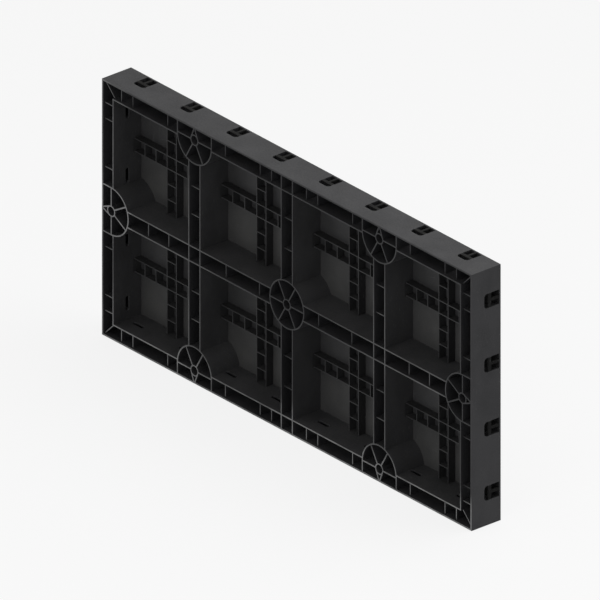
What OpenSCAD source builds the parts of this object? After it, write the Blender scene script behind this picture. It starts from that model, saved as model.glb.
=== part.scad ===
// Modular wall formwork panel, injection moulded in one piece.
// The casting face is plain; the back carries the wall frame, the rib grid and the tie bosses.
// It stands on a long edge: X along the length, Y through the depth, Z up, ribs towards -Y.

/* [Panel] */
// Length of the panel
panel_l = 1200; // [1200:10:1400]
// Height of the panel
panel_h = 600; // [600:10:700]
// Depth from the casting face to the rib edges
panel_d = 80; // [75:1:100]
// Thickness of the casting skin
skin_t = 4; // [3:0.5:5]
// Thickness of the outer wall at the rib edges
wall_t = 4; // [3:0.5:6]
// Thickness of the deep ribs and boss walls at the rib edges
rib_t = 3.2; // [2.4:0.2:4.8]
// Draft angle of the deep ribs, the boss walls and the inside of the outer wall
draft = 0.5; // [0.1:0.1:1]

/* [Rib grid] */
// Distance from the panel edge to the middle of the frame rib
frame_in = 36; // [34:1:42]
// Distance between the two ribs of a pair
pair_w = 36; // [30:1:44]
// Thickness of the cross webs
web_t = 2.5; // [2:0.5:3]
// How far the cross webs stop below the rib edges
web_drop = 6; // [0:1:20]
// Distance from the panel edge to the first cross web of the middle pair
mid_web_in = 102; // [90:1:110]
// Distance from that web to the next
mid_web_pitch = 72; // [60:1:80]

/* [Skin stiffeners] */
// Distance between the two rails of a ladder
ladder_w = 30; // [20:1:40]
// Height of the ladders above the casting face
ladder_h = 23; // [12:1:40]
// Thickness of ladder rails and rungs
ladder_t = 2.5; // [2:0.5:4]

/* [Tie bosses] */
// Radius of the boss ring at the middle of its wall
boss_r = 55; // [48:1:55]
// Distance from the panel edge to an edge boss centre
boss_in = 30; // [26:1:32]
// Outer radius of the tie sleeve at the rib edges
sleeve_r = 13; // [12.5:0.5:15]
// Radius of the tie hole
tie_r = 10; // [8:0.5:10.5]

/* [Key slots] */
// Width of a key slot
slot_w = 34; // [26:1:34]
// Top of the key slot above the casting face
slot_top = 45; // [42:1:50]
// Corner radius at the top of the key slot
slot_r = 8; // [2:1:9]
// Height of the front window of the key slot
slot_front_h = 11; // [10:1:14]
// Thickness of the cross bar of the T inside a key slot
bar_t = 8; // [4:1:9]
// Thickness of the stem of the T
stem_t = 6; // [4:1:8]
// Distance from a slot centre to the webs beside it
slot_web = 18.5; // [18.5:0.5:20]
// Height of the low wall behind the pocket of a key slot
pocket_h = 34; // [20:1:34]
// Middle of the key hole in the frame rib, above the casting face
key_hole_z = 42; // [41:1:48]
// Height of the key hole
key_hole_h = 10; // [6:1:12]

/* [Display] */
// Colour of the moulded plastic
plastic = "#2b2c2e";

/* [Hidden] */
$fn = 72;
eps = 0.5;
bay_cols = 4;
bay_rows = 2;
slots_per_bay = 2;
col_w = panel_l / bay_cols;
row_h = panel_h / bay_rows;
mid_x = panel_l / 2;
mid_y = panel_h / 2;
web_h = panel_d - web_drop;
// what draft adds to one side of a wall between its edge and the casting face
grow = panel_d * tan(draft);
// frame and pair lines that bound the bays, along the length and up the height
bay_x = [for (i = [0 : bay_cols]) i == 0 ? frame_in : i == bay_cols ? panel_l - frame_in : i * col_w];
bay_y = [for (i = [0 : bay_rows]) i == 0 ? frame_in : i == bay_rows ? panel_h - frame_in : i * row_h];

// low and high limits of bay i between its ribs
function bay_lo(i, lines) = lines[i] + (i == 0 ? 0 : pair_w / 2);
function bay_hi(i, lines) = lines[i + 1] - (i == len(lines) - 2 ? 0 : pair_w / 2);
// the lines that cross a ladder between two limits: two rungs, the other ladder's rails, two rungs
function cross_lines(lo, hi) =
    let (gap = (hi - lo - ladder_w) / 2)
    [for (k = [1 : 3]) lo + k * gap / 3, for (k = [3 : -1 : 1]) hi - k * gap / 3];
// middles of the key slots along a side
function slots_at(side, bays) =
    [for (i = [0 : bays * slots_per_bay - 1]) (i + 0.5) * side / bays / slots_per_bay];
// true where a web at x stands clear of the edge bosses centred at the given places
function clear_of(x, centres) = min([for (c = centres) abs(x - c)]) > boss_r + web_t;

// ---------- placing: X along the length, Y up the height, Z from the casting face ----------

// lays children along each side in turn, X along the side and Y inwards from the panel edge
module at_sides() {
    for (s = [0, 1]) {
        translate([s * panel_l, s * panel_h])
            rotate(180 * s) {
                $side = panel_l;
                $slots = slots_at(panel_l, bay_cols);
                $bosses = [col_w, panel_l - col_w];
                children();
            }
        translate([(1 - s) * panel_l, s * panel_h])
            rotate(90 + 180 * s) {
                $side = panel_h;
                $slots = slots_at(panel_h, bay_rows);
                $bosses = [mid_y];
                children();
            }
    }
}

// puts children at each tie boss; an edge boss has the panel edge towards -Y
module at_bosses() {
    translate([mid_x, mid_y]) {
        $on_edge = false;
        children();
    }
    at_sides()
        for (x = $bosses)
            translate([x, boss_in]) {
                $on_edge = true;
                children();
            }
}

// repeats children in all four quarters of the panel
module in_quarters() {
    translate([mid_x, mid_y])
        for (i = [0, 1], j = [0, 1])
            mirror([i, 0])
                mirror([0, j])
                    translate([-mid_x, -mid_y])
                        children();
}

// ---------- deep ribs, drafted ----------

// section of a wall of the full depth, with the given half width at the edge and spread at the root
module deep_section(half, spread) {
    polygon([[-half - spread, 0], [half + spread, 0], [half, panel_d], [-half, panel_d]]);
}

// runs a section along X
module run_x(x0, x1, y) {
    translate([x0, y, 0])
        rotate([90, 0, 90])
            linear_extrude(x1 - x0)
                children();
}

// runs a section along Y
module run_y(x, y0, y1) {
    translate([x, y1, 0])
        rotate([90, 0, 0])
            linear_extrude(y1 - y0)
                children();
}

// outer wall: upright outside, drafted inside
module outer_wall() {
    at_sides()
        run_x(0, $side, 0)
            polygon([[0, 0], [wall_t + grow, 0], [wall_t, panel_d], [0, panel_d]]);
}

// frame ribs in a closed rectangle, and paired ribs carried right through to the outer wall
module grid() {
    for (y = [frame_in, panel_h - frame_in])
        run_x(frame_in - rib_t / 2, panel_l - frame_in + rib_t / 2, y)
            deep_section(rib_t / 2, grow);
    for (x = [frame_in, panel_l - frame_in])
        run_y(x, frame_in - rib_t / 2, panel_h - frame_in + rib_t / 2)
            deep_section(rib_t / 2, grow);
    for (i = [1 : bay_cols - 1], s = [-1, 1])
        run_y(i * col_w + s * pair_w / 2, wall_t / 2, panel_h - wall_t / 2)
            deep_section(rib_t / 2, grow);
    for (i = [1 : bay_rows - 1], s = [-1, 1])
        run_x(wall_t / 2, panel_l - wall_t / 2, i * row_h + s * pair_w / 2)
            deep_section(rib_t / 2, grow);
}

// solid in the outline of a boss: round, or with sides that run straight down to the panel edge
module boss_body(r, spread, on_edge) {
    intersection() {
        cylinder(h = panel_d, r1 = r + spread, r2 = r);
        translate([-2 * r, on_edge ? 0 : -2 * r, 0])
            cube([4 * r, 4 * r, panel_d]);
    }
    if (on_edge)
        run_y(0, -boss_in, 0)
            deep_section(r, spread);
}

// one of the two walls that run from the panel edge to the sides of the tie sleeve
module sleeve_wall(side) {
    reach = sqrt(pow(boss_in, 2) - pow(sleeve_r - rib_t / 2, 2));
    translate([0, -boss_in, 0])
        rotate(90 + side * asin((sleeve_r - rib_t / 2) / boss_in))
            run_x(wall_t / 2, reach, 0)
                deep_section(rib_t / 2, grow);
}

// tie boss: ring, tie sleeve and spokes, with a pair of sleeve walls on an edge boss
module boss(on_edge) {
    difference() {
        boss_body(boss_r + rib_t / 2, grow, on_edge);
        boss_body(boss_r - rib_t / 2, -grow, on_edge);
    }
    cylinder(h = panel_d, r1 = sleeve_r + grow, r2 = sleeve_r);
    for (a = on_edge ? [0, 60, 120, 180] : [0 : 60 : 300])
        rotate(a)
            run_x(tie_r + 1, boss_r, 0)
                deep_section(rib_t / 2, grow);
    if (on_edge)
        for (side = [-1, 1])
            sleeve_wall(side);
}

// ---------- thin webs and ladders, straight ----------

// a thin rib along X, centred on y
module thin_x(x0, x1, y, t) {
    translate([x0, y - t / 2])
        square([x1 - x0, t]);
}

// a thin rib along Y, centred on x
module thin_y(x, y0, y1, t) {
    translate([x - t / 2, y0])
        square([t, y1 - y0]);
}

// webs across the edge channel beside the key slots, and a diagonal web in each corner
module edge_webs_plan() {
    at_sides()
        for (x = $slots, s = [-1, 1])
            if (clear_of(x + s * slot_web, $bosses))
                thin_y(x + s * slot_web, wall_t / 2, frame_in, web_t);
    in_quarters()
        rotate(45)
            thin_x(wall_t, frame_in * sqrt(2), 0, web_t);
}

// webs across the channels between paired ribs, in line with the ladders beside them
module pair_webs_plan() {
    outer = cross_lines(bay_lo(0, bay_x), bay_hi(0, bay_x));
    inner = cross_lines(bay_lo(1, bay_x), bay_hi(1, bay_x));
    upright = cross_lines(bay_lo(0, bay_y), bay_hi(0, bay_y));
    in_quarters() {
        for (x = [outer[2], outer[4], inner[1], inner[4]])
            thin_y(x, mid_y - pair_w / 2, mid_y, web_t);
        for (y = [upright[2], upright[4]])
            thin_x(col_w - pair_w / 2, col_w + pair_w / 2, y, web_t);
        for (y = [mid_web_in, mid_web_in + mid_web_pitch])
            thin_x(mid_x - pair_w / 2, mid_x, y, web_t);
    }
}

// cross webs, kept a little below the rib edges
module webs() {
    linear_extrude(web_h) {
        edge_webs_plan();
        pair_webs_plan();
    }
}

// one ladder along X: two rails with two rungs on each side of the crossing
module ladder_plan(x0, x1, y) {
    lines = cross_lines(x0, x1);
    for (s = [-1, 1])
        thin_x(x0, x1, y + s * ladder_w / 2, ladder_t);
    for (k = [0, 1, 4, 5])
        thin_y(lines[k], y - ladder_w / 2, y + ladder_w / 2, ladder_t);
}

// crossed ladders on the skin of every bay
module ladders() {
    linear_extrude(ladder_h)
        for (i = [0 : bay_cols - 1], j = [0 : bay_rows - 1]) {
            x0 = bay_lo(i, bay_x);
            x1 = bay_hi(i, bay_x);
            y0 = bay_lo(j, bay_y);
            y1 = bay_hi(j, bay_y);
            ladder_plan(x0, x1, (y0 + y1) / 2);
            translate([(x0 + x1) / 2, 0])
                rotate(90)
                    ladder_plan(y0, y1, 0);
        }
}

// low wall behind the pocket of each key slot, between the two webs beside the slot
module pocket_walls() {
    linear_extrude(pocket_h)
        at_sides()
            for (x = $slots)
                thin_x(x - slot_web, x + slot_web, (wall_t + frame_in) / 2, web_t);
}

// ---------- openings ----------

// outline of a key slot, X across the slot and Y up from the casting face
module slot_outline() {
    translate([-slot_w / 2, skin_t])
        square([slot_w, slot_top - slot_r - skin_t]);
    translate([slot_r - slot_w / 2, skin_t])
        square([slot_w - 2 * slot_r, slot_top - skin_t]);
    for (s = [-1, 1])
        translate([s * (slot_w / 2 - slot_r), slot_top - slot_r])
            circle(slot_r);
}

// cutter for a key slot: everything but the T bar, which is left standing in the wall
module key_slot() {
    bar_z = slot_top - slot_front_h - bar_t;
    run_y(0, -eps, wall_t + grow + eps)
        difference() {
            slot_outline();
            translate([-slot_w / 2 - 1, bar_z])
                square([slot_w + 2, bar_t]);
            translate([-stem_t / 2, skin_t - 1])
                square([stem_t, bar_z + 2 - skin_t]);
        }
}

// cutter for the round-ended key hole in the frame rib
module key_hole() {
    run_y(0, frame_in - rib_t / 2 - grow - eps, frame_in + rib_t / 2 + grow + eps)
        translate([0, key_hole_z]) {
            square([slot_w - key_hole_h, key_hole_h], center = true);
            for (s = [-1, 1])
                translate([s * (slot_w - key_hole_h) / 2, 0])
                    circle(d = key_hole_h);
        }
}

// key slots in the outer wall and key holes in the frame ribs, along every side
module key_openings() {
    at_sides()
        for (x = $slots)
            translate([x, 0, 0]) {
                key_slot();
                key_hole();
            }
}

// tie holes right through sleeve and skin
module tie_holes() {
    at_bosses()
        translate([0, 0, -1])
            cylinder(h = panel_d + 2, r = tie_r);
}

// the whole moulding, stood on its long edge
module panel() {
    color(plastic)
        translate([-mid_x, panel_d / 2, 0])
            rotate([90, 0, 0])
                difference() {
                    union() {
                        cube([panel_l, panel_h, skin_t]);
                        outer_wall();
                        difference() {
                            grid();
                            at_bosses()
                                boss_body(boss_r, 0, $on_edge);
                        }
                        at_bosses()
                            boss($on_edge);
                        webs();
                        ladders();
                        pocket_walls();
                    }
                    key_openings();
                    tie_holes();
                }
}

panel();
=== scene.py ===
import math
from functools import reduce
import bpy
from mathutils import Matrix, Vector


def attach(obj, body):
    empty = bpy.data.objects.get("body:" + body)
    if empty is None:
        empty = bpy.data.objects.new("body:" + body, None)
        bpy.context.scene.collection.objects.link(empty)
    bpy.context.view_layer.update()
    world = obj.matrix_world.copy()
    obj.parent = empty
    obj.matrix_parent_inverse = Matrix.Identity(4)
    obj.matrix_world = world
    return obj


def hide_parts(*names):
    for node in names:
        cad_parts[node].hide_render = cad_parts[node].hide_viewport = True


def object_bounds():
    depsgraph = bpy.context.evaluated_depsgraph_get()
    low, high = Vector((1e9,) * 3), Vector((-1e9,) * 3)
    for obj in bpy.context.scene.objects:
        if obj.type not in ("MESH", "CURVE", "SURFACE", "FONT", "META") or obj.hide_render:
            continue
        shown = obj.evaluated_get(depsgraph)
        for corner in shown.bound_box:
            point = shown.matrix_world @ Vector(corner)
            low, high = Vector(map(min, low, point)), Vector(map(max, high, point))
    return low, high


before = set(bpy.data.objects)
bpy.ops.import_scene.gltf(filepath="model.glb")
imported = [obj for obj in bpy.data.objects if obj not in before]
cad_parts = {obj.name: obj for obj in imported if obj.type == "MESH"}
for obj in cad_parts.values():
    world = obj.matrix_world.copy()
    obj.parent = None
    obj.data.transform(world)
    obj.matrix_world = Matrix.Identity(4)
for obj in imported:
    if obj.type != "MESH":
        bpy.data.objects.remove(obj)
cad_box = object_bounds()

from types import SimpleNamespace

import bmesh
import bpy
from mathutils import Vector

MM = 0.001
LOW, HIGH = cad_box
CENTRE = (LOW + HIGH) / 2
HALF_LENGTH = (HIGH.x - LOW.x) / 2
HALF_HEIGHT = (HIGH.z - LOW.z) / 2

# depths, from the free edges of the ribs at -Y to the casting face at +Y
RIB_EDGE_Y = LOW.y
CASTING_FACE_Y = HIGH.y
SKIN_Y = CASTING_FACE_Y - 4 * MM            # rib side of the casting skin
LADDER_TOP_Y = CASTING_FACE_Y - 23 * MM
KEY_BAR_TOP_Y = CASTING_FACE_Y - 35 * MM    # just past the cross bars of the T bars
SLOT_TOP_Y = CASTING_FACE_Y - 45 * MM

# where the ribs run, measured from the middle of the panel
OUTER_WALL = 4 * MM
RIB_INSET = 36 * MM
HALF_PAIR = 18 * MM                         # from the middle of a channel to the ribs beside it
BAY_PITCH = HALF_LENGTH / 2
BAYS_ACROSS = ((HALF_PAIR, BAY_PITCH - HALF_PAIR), (BAY_PITCH + HALF_PAIR, HALF_LENGTH - RIB_INSET))
BAY_UP = (HALF_PAIR, HALF_HEIGHT - RIB_INSET)
LADDER_HALF_WIDTH = 15 * MM
BOSS_RADIUS = 55 * MM
BOSS_INSET = 30 * MM
BOSS_MIDDLES = ((0, 0, 0), (BAY_PITCH, 0, HALF_HEIGHT - BOSS_INSET), (HALF_LENGTH - BOSS_INSET, 0, 0))
SLOT_PITCH = BAY_PITCH / 2
HALF_SLOT = 17 * MM
POCKET_DEPTH = 30 * MM

# rounding of the corners
EDGE_RADIUS = 0.35 * MM
SHORTEST_ROUNDED = 0.5 * MM
SHARP_TURN = math.radians(40)
CREASE_TURN = math.radians(24)
# the sharpest turns that still shade smoothly, where 0, 1 or 2 of the faces beside the edge are rounding
SMOOTH_TURNS = (CREASE_TURN, math.radians(30), math.radians(55))


# ---- nodes ----------------------------------------------------------------------------------------

def add(tree, kind, **values):
    """New shader node; a value goes to the setting or to the socket of that name."""
    node = tree.nodes.new("ShaderNode" + kind)
    for name, value in values.items():
        if hasattr(node, name):
            setattr(node, name, value)
        else:
            node.inputs[name.replace("_", " ")].default_value = value
    return node


def wire(tree, start, end):
    """Link from an output socket to an input socket."""
    tree.links.new(start, end)


def feed(tree, value, socket):
    """A socket is linked to the input, a plain number or colour is set on it."""
    if isinstance(value, bpy.types.NodeSocket):
        wire(tree, value, socket)
    else:
        socket.default_value = value


def maths(tree, operation, *values, clamp=False):
    """Math node of sockets or numbers; gives back its output."""
    node = add(tree, "Math", operation=operation, use_clamp=clamp)
    for socket, value in zip(node.inputs, values):
        feed(tree, value, socket)
    return node.outputs[0]


def product(tree, *values):
    """All the values multiplied together."""
    return reduce(lambda first, second: maths(tree, "MULTIPLY", first, second), values)


def largest(tree, *values):
    """The largest of the values."""
    return reduce(lambda first, second: maths(tree, "MAXIMUM", first, second), values)


def distance(tree, value, level):
    """How far a value is from a level, either way."""
    return maths(tree, "ABSOLUTE", maths(tree, "SUBTRACT", value, level))


def split(tree, vector):
    """The X, Y and Z of a vector."""
    node = add(tree, "SeparateXYZ")
    wire(tree, vector, node.inputs[0])
    return node.outputs


def ramp(tree, value, start, end, low=0.0, high=1.0):
    """Smooth step of a value between two levels."""
    node = add(tree, "MapRange", interpolation_type="SMOOTHSTEP")
    wire(tree, value, node.inputs["Value"])
    for name, number in (("From Min", start), ("From Max", end), ("To Min", low), ("To Max", high)):
        node.inputs[name].default_value = number
    return node.outputs["Result"]


def above(tree, value, level, soft=0.5 * MM):
    """1 above a level, 0 below it."""
    return ramp(tree, value, level - soft, level + soft)


def below(tree, value, level, soft=0.5 * MM):
    """1 below a level, 0 above it."""
    return ramp(tree, value, level + soft, level - soft)


def between(tree, value, low, high):
    """1 between two levels, 0 outside them."""
    return product(tree, above(tree, value, low), below(tree, value, high))


def blend_colours(tree, factor, first, second):
    """Colour mix, where the first colour may be a socket."""
    node = add(tree, "Mix", data_type="RGBA")
    wire(tree, factor, node.inputs["Factor"])
    for name, value in (("A", first), ("B", second)):
        socket = next(s for s in node.inputs if s.name == name and s.type == "RGBA")
        feed(tree, value, socket)
    return next(s for s in node.outputs if s.type == "RGBA")


def noise(tree, place, size, detail=2.0, roughness=0.5, stretch=(1, 1, 1), lean=0.0):
    """Noise of a size in metres, stretched along axes that lean by degrees in the panel's plane."""
    fit = add(tree, "Mapping", vector_type="TEXTURE")
    fit.inputs["Rotation"].default_value = (0, math.radians(lean), 0)
    fit.inputs["Scale"].default_value = [size * factor for factor in stretch]
    wire(tree, place, fit.inputs["Vector"])
    node = add(tree, "TexNoise", Scale=1.0, Detail=detail, Roughness=roughness)
    wire(tree, fit.outputs[0], node.inputs["Vector"])
    return node.outputs["Fac"]


# ---- finishes that the materials share ------------------------------------------------------------

FLOAT, VECTOR = "NodeSocketFloat", "NodeSocketVector"


def node_group(name, inputs, outputs):
    """Empty group with a Place input and named numbers, and the sockets of its two ends."""
    tree = bpy.data.node_groups.new(name, "ShaderNodeTree")
    tree.interface.new_socket("Place", in_out="INPUT", socket_type=VECTOR)
    for label, value in inputs.items():
        tree.interface.new_socket(label, in_out="INPUT", socket_type=FLOAT).default_value = value
    for label in outputs:
        tree.interface.new_socket(label, in_out="OUTPUT", socket_type=FLOAT)
    return tree, tree.nodes.new("NodeGroupInput").outputs, tree.nodes.new("NodeGroupOutput").inputs


def use_group(tree, group, place, **values):
    """The group placed in a material, fed with the place on the piece."""
    node = tree.nodes.new("ShaderNodeGroup")
    node.node_tree = group
    wire(tree, place, node.inputs["Place"])
    for name, value in values.items():
        node.inputs[name].default_value = value
    return node.outputs


def mould_grain_group():
    """Spark-eroded grain with slow sink-mark ripples, and clouds from the flow of the melt."""
    tree, given, made = node_group(
        "mould_grain", {"Grain": 0.06, "Ripple": 0.3}, ("Height", "Cloud", "Fleck")
    )
    place = given["Place"]
    grain = product(tree, noise(tree, place, 0.9 * MM, 3.0, 0.6), given["Grain"])
    ripple = product(tree, noise(tree, place, 45 * MM, 1.0), given["Ripple"])
    wire(tree, maths(tree, "ADD", grain, ripple), made["Height"])
    cloud = noise(tree, place, 70 * MM, 4.0, 0.55, (1, 1, 1.7))
    wire(tree, ramp(tree, cloud, 0.3, 0.7), made["Cloud"])
    wire(tree, ramp(tree, noise(tree, place, 4 * MM, 3.0, 0.7), 0.35, 0.75), made["Fleck"])
    return tree


def rubbing_group():
    """Short rub marks in patches, along, across and aslant."""
    tree, given, made = node_group("rubbing", {"Amount": 0.5}, ("Marks",))
    place = given["Place"]
    marks = []
    for width, stretch, lean, patch in (
        (2.2 * MM, (24, 1, 1), 6, 120 * MM),
        (2.0 * MM, (18, 1, 1), -27, 95 * MM),
        (2.6 * MM, (1, 1, 16), 11, 150 * MM),
    ):
        fine = ramp(tree, noise(tree, place, width, 3.0, 0.6, stretch, lean), 0.57, 0.75)
        patches = ramp(tree, noise(tree, place, patch, 3.0, 0.6), 0.46, 0.68)
        marks.append(product(tree, fine, patches))
    wire(tree, product(tree, largest(tree, *marks), given["Amount"]), made["Marks"])
    return tree


def dust_group():
    """Fine pale dust that settles on faces that look up, thicker in patches."""
    tree, given, made = node_group("settled_dust", {"Amount": 0.3}, ("Dust",))
    upward = ramp(tree, split(tree, add(tree, "NewGeometry").outputs["Normal"])["Z"], 0.3, 1.0)
    patches = ramp(tree, noise(tree, given["Place"], 35 * MM, 4.0, 0.6), 0.3, 0.75, 0.35, 1.0)
    wire(tree, product(tree, upward, patches, given["Amount"]), made["Dust"])
    return tree


MOULD_GRAIN = mould_grain_group()
RUBBING = rubbing_group()
DUST = dust_group()


# ---- where things are on the panel ----------------------------------------------------------------

def panel_spot(tree, place):
    """The place on the panel, how far it is from the middle each way, and how its face looks along Y."""
    spot, folded = split(tree, place), add(tree, "CombineXYZ")
    across, up = distance(tree, spot["X"], CENTRE.x), distance(tree, spot["Z"], CENTRE.z)
    wire(tree, across, folded.inputs["X"])
    wire(tree, up, folded.inputs["Z"])
    facing = split(tree, add(tree, "NewGeometry").outputs["Normal"])["Y"]
    return SimpleNamespace(place=place, x=spot["X"], y=spot["Y"], z=spot["Z"], across=across, up=up,
                           folded=folded.outputs[0], facing=facing)


def open_bay_mask(tree, spot):
    """1 in the eight open bays, 0 in the channels, in the tie bosses and outside the wall."""
    columns = maths(tree, "ADD", *(between(tree, spot.across, *bay) for bay in BAYS_ACROSS))
    mask = product(tree, columns, between(tree, spot.up, *BAY_UP))
    for boss in BOSS_MIDDLES:
        reach = add(tree, "VectorMath", operation="DISTANCE")
        wire(tree, spot.folded, reach.inputs[0])
        reach.inputs[1].default_value = boss
        mask = product(tree, mask, above(tree, reach.outputs["Value"], BOSS_RADIUS))
    return mask


def closed_in_mask(tree, spot, open_bay):
    """1 in the channels and the tie bosses, 0 in the open bays and on the outside of the wall."""
    half_wall = OUTER_WALL / 2
    inside = product(tree, below(tree, spot.across, HALF_LENGTH - half_wall, 1 * MM),
                     below(tree, spot.up, HALF_HEIGHT - half_wall, 1 * MM))
    return product(tree, inside, maths(tree, "SUBTRACT", 1.0, open_bay))


def key_slot_painted_shade_mask(tree, spot):
    """1 on the T bars that stand in the key slots and in the pockets behind them, where shade is painted,
    0 elsewhere.
    """
    bar_depth = between(tree, spot.y, KEY_BAR_TOP_Y, SKIN_Y)
    slot_depth = between(tree, spot.y, SLOT_TOP_Y, SKIN_Y)
    bars = []
    for along, corner, from_middle, half in (
        (spot.x, LOW.x, spot.up, HALF_HEIGHT),
        (spot.z, LOW.z, spot.across, HALF_LENGTH),
    ):
        step = maths(tree, "MODULO", maths(tree, "SUBTRACT", along, corner), SLOT_PITCH)
        window = below(tree, distance(tree, step, SLOT_PITCH / 2), HALF_SLOT - 0.5 * MM)
        outer_face = above(tree, from_middle, half - 0.75 * MM, 0.25 * MM)
        pocket = between(tree, from_middle, half - POCKET_DEPTH, half - 1 * MM)
        dark = largest(tree, product(tree, outer_face, bar_depth), product(tree, pocket, slot_depth))
        bars.append(product(tree, window, dark))
    return largest(tree, *bars)


def facing_ribs(tree, spot):
    """1 on faces that look the way the ribs stand, 0 on their sides."""
    return ramp(tree, spot.facing, -0.6, -0.95)


def ladder_zone(tree, spot, half_width):
    """1 within a half width of the lines that the ladders follow, the middle lines of the bays."""
    lines = [(spot.across, bay) for bay in BAYS_ACROSS] + [(spot.up, BAY_UP)]
    return largest(tree, *(
        between(tree, value, sum(bay) / 2 - half_width, sum(bay) / 2 + half_width) for value, bay in lines
    ))


def ladder_side_mask(tree, spot):
    """1 on the sides of the ladder rails and rungs."""
    sides = maths(tree, "SUBTRACT", 1.0, facing_ribs(tree, spot))
    low_down = above(tree, spot.y, LADDER_TOP_Y - 3.5 * MM, 2.5 * MM)
    return product(tree, low_down, sides, ladder_zone(tree, spot, LADDER_HALF_WIDTH + 2 * MM))


def clear_of_walls(tree, spot, foot=42 * MM, start=10 * MM):
    """Least at the foot of a bay's walls and in its corners, 1 further in; the painted light on the skins
    fades there as painted shade.
    """
    squares = []
    for value, bays in ((spot.across, BAYS_ACROSS), (spot.up, (BAY_UP,))):
        off_wall = [
            maths(tree, "SUBTRACT", (high - low) / 2, distance(tree, value, (low + high) / 2))
            for low, high in bays
        ]
        short = largest(tree, maths(tree, "SUBTRACT", foot, largest(tree, *off_wall)), 0.0)
        squares.append(maths(tree, "POWER", short, 2.0))
    reach = maths(tree, "SQRT", maths(tree, "ADD", *squares))
    return ramp(tree, reach, foot, start, 0.7, 1.0)


def skin_painted_light_mask(tree, spot):
    """How much painted light the skin gets between the ladders: most of it low in each bay, less at the
    foot of the walls and in the corners.
    """
    skin = product(tree, facing_ribs(tree, spot), above(tree, spot.y, SKIN_Y - 2 * MM, 1 * MM))
    between_ladders = maths(tree, "SUBTRACT", 1.0, ladder_zone(tree, spot, LADDER_HALF_WIDTH))
    row_pitch = HALF_HEIGHT + HALF_PAIR - RIB_INSET
    height_in_bay = maths(tree, "MODULO", maths(tree, "SUBTRACT", spot.z, LOW.z + RIB_INSET), row_pitch)
    low_in_bay = ramp(tree, height_in_bay, 150 * MM, 20 * MM, 0.15, 1.0)
    return product(tree, skin, between_ladders, clear_of_walls(tree, spot), low_in_bay)


def rib_edge_mask(tree, spot):
    """1 on the free edges of the deep ribs and webs, 0 elsewhere."""
    facing = ramp(tree, spot.facing, -0.45, -0.9)
    return product(tree, facing, below(tree, spot.y, RIB_EDGE_Y + 8 * MM, 1 * MM))


def edge_wear_and_highlight(tree, spot):
    """How far the rib edges are rubbed and painted with a highlight: most along the foot and on the boss
    of the dragged end.
    """
    foot = ramp(tree, spot.z, LOW.z + 90 * MM, LOW.z + 42 * MM)
    dragged_end = ramp(tree, spot.x, LOW.x + 100 * MM, LOW.x + 60 * MM, 0.0, 0.6)
    end_boss = product(tree, ramp(tree, spot.up, 75 * MM, 55 * MM),
                       ramp(tree, spot.x, LOW.x + 110 * MM, LOW.x + 90 * MM))
    away_from_middle = ramp(tree, spot.across, 80 * MM, 400 * MM, 0.0, 0.42)
    lower_part = ramp(tree, spot.z, HIGH.z - 20 * MM, HIGH.z - 280 * MM, 0.1, 1.0)
    short_of_far_end = ramp(tree, spot.x, HIGH.x - 70 * MM, HIGH.x - 110 * MM)
    elsewhere = product(tree, away_from_middle, lower_part, short_of_far_end)
    wear = largest(tree, elsewhere, foot, dragged_end, end_boss)
    broken = ramp(tree, noise(tree, spot.place, 22 * MM, 4.0, 0.65), 0.25, 0.65, 0.5, 1.0)
    stretches = ramp(tree, noise(tree, spot.place, 150 * MM, 2.0), 0.38, 0.58, 0.5, 1.0)
    return product(tree, wear, broken, stretches)


# ---- materials ------------------------------------------------------------------------------------

CHARCOAL = (0.0215, 0.0215, 0.0232, 1)
CHARCOAL_PALE = (0.0335, 0.0333, 0.0355, 1)
# painted shade for the channels, tie bosses and ladder sides
PAINTED_SHADE_CHARCOAL = (0.010, 0.010, 0.011, 1)
# painted shade for the T bars and the pockets behind the key slots
KEY_BAR_PAINTED_SHADE_BLACK = (0.002, 0.002, 0.002, 1)
# painted light for the skins of the open bays
SKIN_PAINTED_LIGHT_GREY = (0.075, 0.0745, 0.072, 1)
DUST_GREY = (0.11, 0.107, 0.10, 1)
CEMENT_GREY = (0.15, 0.146, 0.138, 1)
RUBBED_GREY = (0.09, 0.09, 0.09, 1)
# rib edges: rubbed pale by wear and lightened as a painted highlight
WORN_AND_HIGHLIT_EDGE_GREY = (0.24, 0.24, 0.24, 1)


def plastic(name):
    """A new plastic material, with its node tree, its shader and the place on the piece."""
    material = bpy.data.materials.new(name)
    material.use_nodes = True
    tree = material.node_tree
    shader = tree.nodes["Principled BSDF"]
    shader.inputs["Specular IOR Level"].default_value = 0.2
    place = add(tree, "TexCoord").outputs["Object"]
    return material, tree, shader, place


def grain_bump(tree, shader, height):
    """Bump at true size: a height of 1 is a tenth of a millimetre."""
    bump = add(tree, "Bump", Strength=1.0, Distance=0.1 * MM)
    wire(tree, height, bump.inputs["Height"])
    wire(tree, bump.outputs["Normal"], shader.inputs["Normal"])


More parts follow.
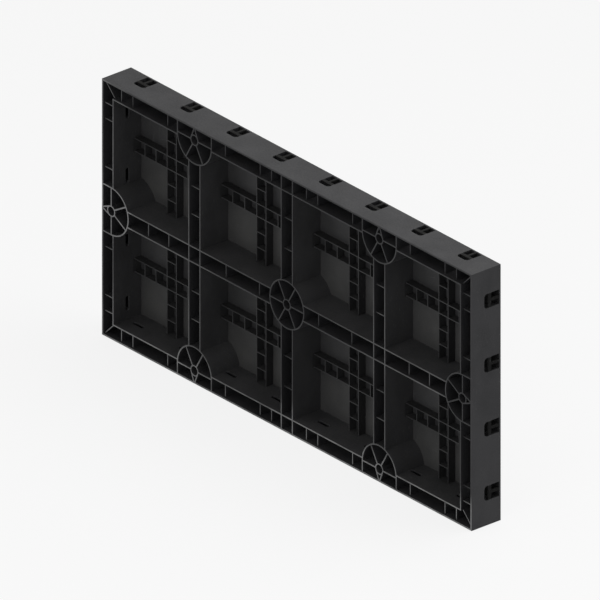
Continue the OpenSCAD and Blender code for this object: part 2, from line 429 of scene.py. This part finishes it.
def rib_side_plastic():
    """Charcoal plastic as moulded, with painted shade in the channels, bosses, ladder sides and key
    slots, painted light on the bay skins, and rib edges rubbed pale with a painted highlight.
    """
    material, tree, shader, place = plastic("rib_side_plastic")
    spot = panel_spot(tree, place)
    grain = use_group(tree, MOULD_GRAIN, place, Grain=1.0, Ripple=3.0)
    rubbed = use_group(tree, RUBBING, place, Amount=0.6)["Marks"]
    dust = use_group(tree, DUST, place, Amount=0.08)["Dust"]
    open_bay = open_bay_mask(tree, spot)
    # painted shade: a darker colour in the channels, the tie bosses and on the ladder sides
    painted_shade = largest(tree, product(tree, closed_in_mask(tree, spot, open_bay), 0.45),
                    product(tree, ladder_side_mask(tree, spot), open_bay, 0.85))
    # painted light: paler skins in the open bays, most low in each bay, fading at the foot of the walls
    # and in the corners as painted shade
    skin_painted_light = maths(tree, "ADD", product(tree, open_bay, 0.18),
                 product(tree, skin_painted_light_mask(tree, spot), open_bay, 0.62))
    painted_light_patches = ramp(tree, noise(tree, place, 60 * MM, 3.0, 0.6), 0.3, 0.7, 0.7, 1.0)
    # painted shade: near black on the T bars and in the pockets behind the key slots
    bars = key_slot_painted_shade_mask(tree, spot)
    # rib edges rubbed pale, partly real wear and partly a painted highlight
    edge = product(tree, rib_edge_mask(tree, spot), edge_wear_and_highlight(tree, spot))

    colour = blend_colours(tree, grain["Cloud"], CHARCOAL, CHARCOAL_PALE)
    for mask, layer in (
        (painted_shade, PAINTED_SHADE_CHARCOAL),
        (product(tree, skin_painted_light, painted_light_patches), SKIN_PAINTED_LIGHT_GREY),
        (bars, KEY_BAR_PAINTED_SHADE_BLACK),
        (dust, DUST_GREY),
        (rubbed, RUBBED_GREY),
        (edge, WORN_AND_HIGHLIT_EDGE_GREY),
    ):
        colour = blend_colours(tree, mask, colour, layer)
    wire(tree, colour, shader.inputs["Base Color"])

    rough = maths(tree, "MULTIPLY_ADD", grain["Fleck"], 0.16, 0.44)
    for mask, change in ((edge, -0.08), (bars, 0.4)):
        rough = maths(tree, "ADD", rough, product(tree, mask, change), clamp=True)
    wire(tree, rough, shader.inputs["Roughness"])
    grain_bump(tree, shader, grain["Height"])
    return material


def casting_face_plastic():
    """The same plastic against a polished mould, with a thin cement haze and rub marks."""
    material, tree, shader, place = plastic("casting_face_plastic")
    grain = use_group(tree, MOULD_GRAIN, place, Grain=0.10, Ripple=0.8)
    rubbed = use_group(tree, RUBBING, place, Amount=0.7)["Marks"]
    haze = ramp(tree, noise(tree, place, 160 * MM, 5.0, 0.62), 0.38, 0.78, 0.04, 0.30)
    colour = blend_colours(tree, grain["Cloud"], CHARCOAL, CHARCOAL_PALE)
    colour = blend_colours(tree, haze, colour, CEMENT_GREY)
    colour = blend_colours(tree, rubbed, colour, RUBBED_GREY)
    wire(tree, colour, shader.inputs["Base Color"])
    wire(tree, maths(tree, "MULTIPLY_ADD", haze, 0.8, 0.30, clamp=True), shader.inputs["Roughness"])
    grain_bump(tree, shader, grain["Height"])
    return material


# ---- the panel ------------------------------------------------------------------------------------

def round_corners(work):
    """Round the corners that stick out, and keep a crisp crease at all the others."""
    sharp = [edge for edge in work.edges if abs(edge.calc_face_angle_signed(0)) > CREASE_TURN]
    too_short = [edge for edge in sharp if edge.calc_length() < SHORTEST_ROUNDED]
    crowded = {end for edge in too_short for end in edge.verts}
    corners = [
        edge for edge in sharp
        if edge.calc_face_angle_signed() > SHARP_TURN and not crowded.intersection(edge.verts)
    ]
    made = bmesh.ops.bevel(
        work, geom=corners, affect="EDGES", offset=EDGE_RADIUS, offset_type="OFFSET", segments=2,
        profile=0.5, material=-1, clamp_overlap=False, loop_slide=False,
    )
    rounded = set(made["faces"])
    for edge in work.edges:
        turn = edge.calc_face_angle_signed(0)
        rounding_beside = min(2, len(rounded.intersection(edge.link_faces)))
        edge.smooth = -CREASE_TURN <= turn <= SMOOTH_TURNS[rounding_beside]
    for face in work.faces:
        face.smooth = True


def panel_moulding():
    """The moulding with its outer corners rounded as a mould leaves them."""
    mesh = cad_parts["panel"].data.copy()
    mesh.materials.clear()
    mesh.materials.append(rib_side_plastic())
    mesh.materials.append(casting_face_plastic())
    work = bmesh.new()
    work.from_mesh(mesh)
    bmesh.ops.remove_doubles(work, verts=work.verts, dist=0.002 * MM)
    for face in work.faces:
        on_casting_face = face.normal.y > 0.99 and face.calc_center_median().y > CASTING_FACE_Y - 0.1 * MM
        face.material_index = int(on_casting_face)
    round_corners(work)
    work.to_mesh(mesh)
    work.free()
    piece = bpy.data.objects.new("panel_moulding", mesh)
    bpy.context.scene.collection.objects.link(piece)
    flats = piece.modifiers.new("flat_faces_stay_flat", "WEIGHTED_NORMAL")
    flats.mode = "FACE_AREA"
    flats.weight = 90
    flats.keep_sharp = True
    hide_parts("panel")
    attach(piece, "root")


# ---- studio ---------------------------------------------------------------------------------------

def background_rays(tree):
    """1 for rays that see the surroundings directly, in a gloss or through a clear part."""
    path = add(tree, "LightPath")
    rays = ("Is Camera Ray", "Is Glossy Ray", "Is Transmission Ray")
    return largest(tree, *(path.outputs[ray] for ray in rays))


def white_surroundings(fill):
    """White where it is seen, a soft even fill elsewhere."""
    world = bpy.data.worlds.new("surroundings")
    bpy.context.scene.world = world
    world.use_nodes = True
    tree = world.node_tree
    tree.nodes.clear()
    strength = ramp(tree, background_rays(tree), 0.0, 1.0, fill, 1.0)
    background = add(tree, "Background", Color=(1, 1, 1, 1))
    wire(tree, strength, background.inputs["Strength"])
    wire(tree, background.outputs[0], add(tree, "OutputWorld").inputs["Surface"])


def floor_paint(whiteness):
    """Matt pale paint, near white where it is seen, with the shadow kept."""
    material = bpy.data.materials.new("studio_floor_paint")
    material.use_nodes = True
    tree = material.node_tree
    tree.nodes.clear()
    matt = add(tree, "BsdfDiffuse", Color=(0.75, 0.75, 0.75, 1))
    white = add(tree, "Emission", Color=(1, 1, 1, 1), Strength=1.0)
    mix = add(tree, "MixShader")
    wire(tree, product(tree, background_rays(tree), whiteness), mix.inputs[0])
    wire(tree, matt.outputs[0], mix.inputs[1])
    wire(tree, white.outputs[0], mix.inputs[2])
    wire(tree, mix.outputs[0], add(tree, "OutputMaterial").inputs["Surface"])
    return material


def pale_floor(size=12.0, whiteness=0.84):
    """Wide floor, just under the panel."""
    work = bmesh.new()
    bmesh.ops.create_grid(work, x_segments=1, y_segments=1, size=size / 2)
    bmesh.ops.translate(work, verts=work.verts, vec=(CENTRE.x, CENTRE.y, LOW.z - 0.5 * MM))
    mesh = bpy.data.meshes.new("studio_floor")
    work.to_mesh(mesh)
    work.free()
    mesh.materials.append(floor_paint(whiteness))
    floor = bpy.data.objects.new("studio_floor", mesh)
    bpy.context.scene.collection.objects.link(floor)


def soft_lamp(name, place, size, power):
    """A large square lamp aimed at the middle of the panel."""
    data = bpy.data.lights.new(name, "AREA")
    data.shape = "SQUARE"
    data.size = size
    data.energy = power
    lamp = bpy.data.objects.new(name, data)
    lamp.location = place
    lamp.rotation_mode = "QUATERNION"
    lamp.rotation_quaternion = (CENTRE - Vector(place)).to_track_quat("-Z", "Y")
    bpy.context.scene.collection.objects.link(lamp)


def studio_camera(turn, rise, width, distance_back=4.0):
    """Parallel view from the front right, a little above the panel."""
    data = bpy.data.cameras.new("camera")
    data.type = "ORTHO"
    data.ortho_scale = width
    data.shift_x = -0.0022
    data.shift_y = -0.0013
    camera = bpy.data.objects.new("camera", data)
    bpy.context.scene.collection.objects.link(camera)
    back = Vector((math.sin(turn) * math.cos(rise), -math.cos(turn) * math.cos(rise), math.sin(rise)))
    camera.rotation_mode = "QUATERNION"
    camera.rotation_quaternion = (-back).to_track_quat("-Z", "Y")
    camera.location = CENTRE + back * distance_back
    bpy.context.scene.camera = camera


panel_moulding()
pale_floor()
studio_camera(turn=math.radians(49.84), rise=math.radians(26.7), width=1.256)
white_surroundings(fill=0.55)
soft_lamp("top_lamp", place=(0.8, 1.0, 2.8), size=2.0, power=34)
soft_lamp("front_lamp", place=(1.2, -3.0, 1.5), size=2.0, power=19)
bpy.context.scene.view_settings.view_transform = "Standard"
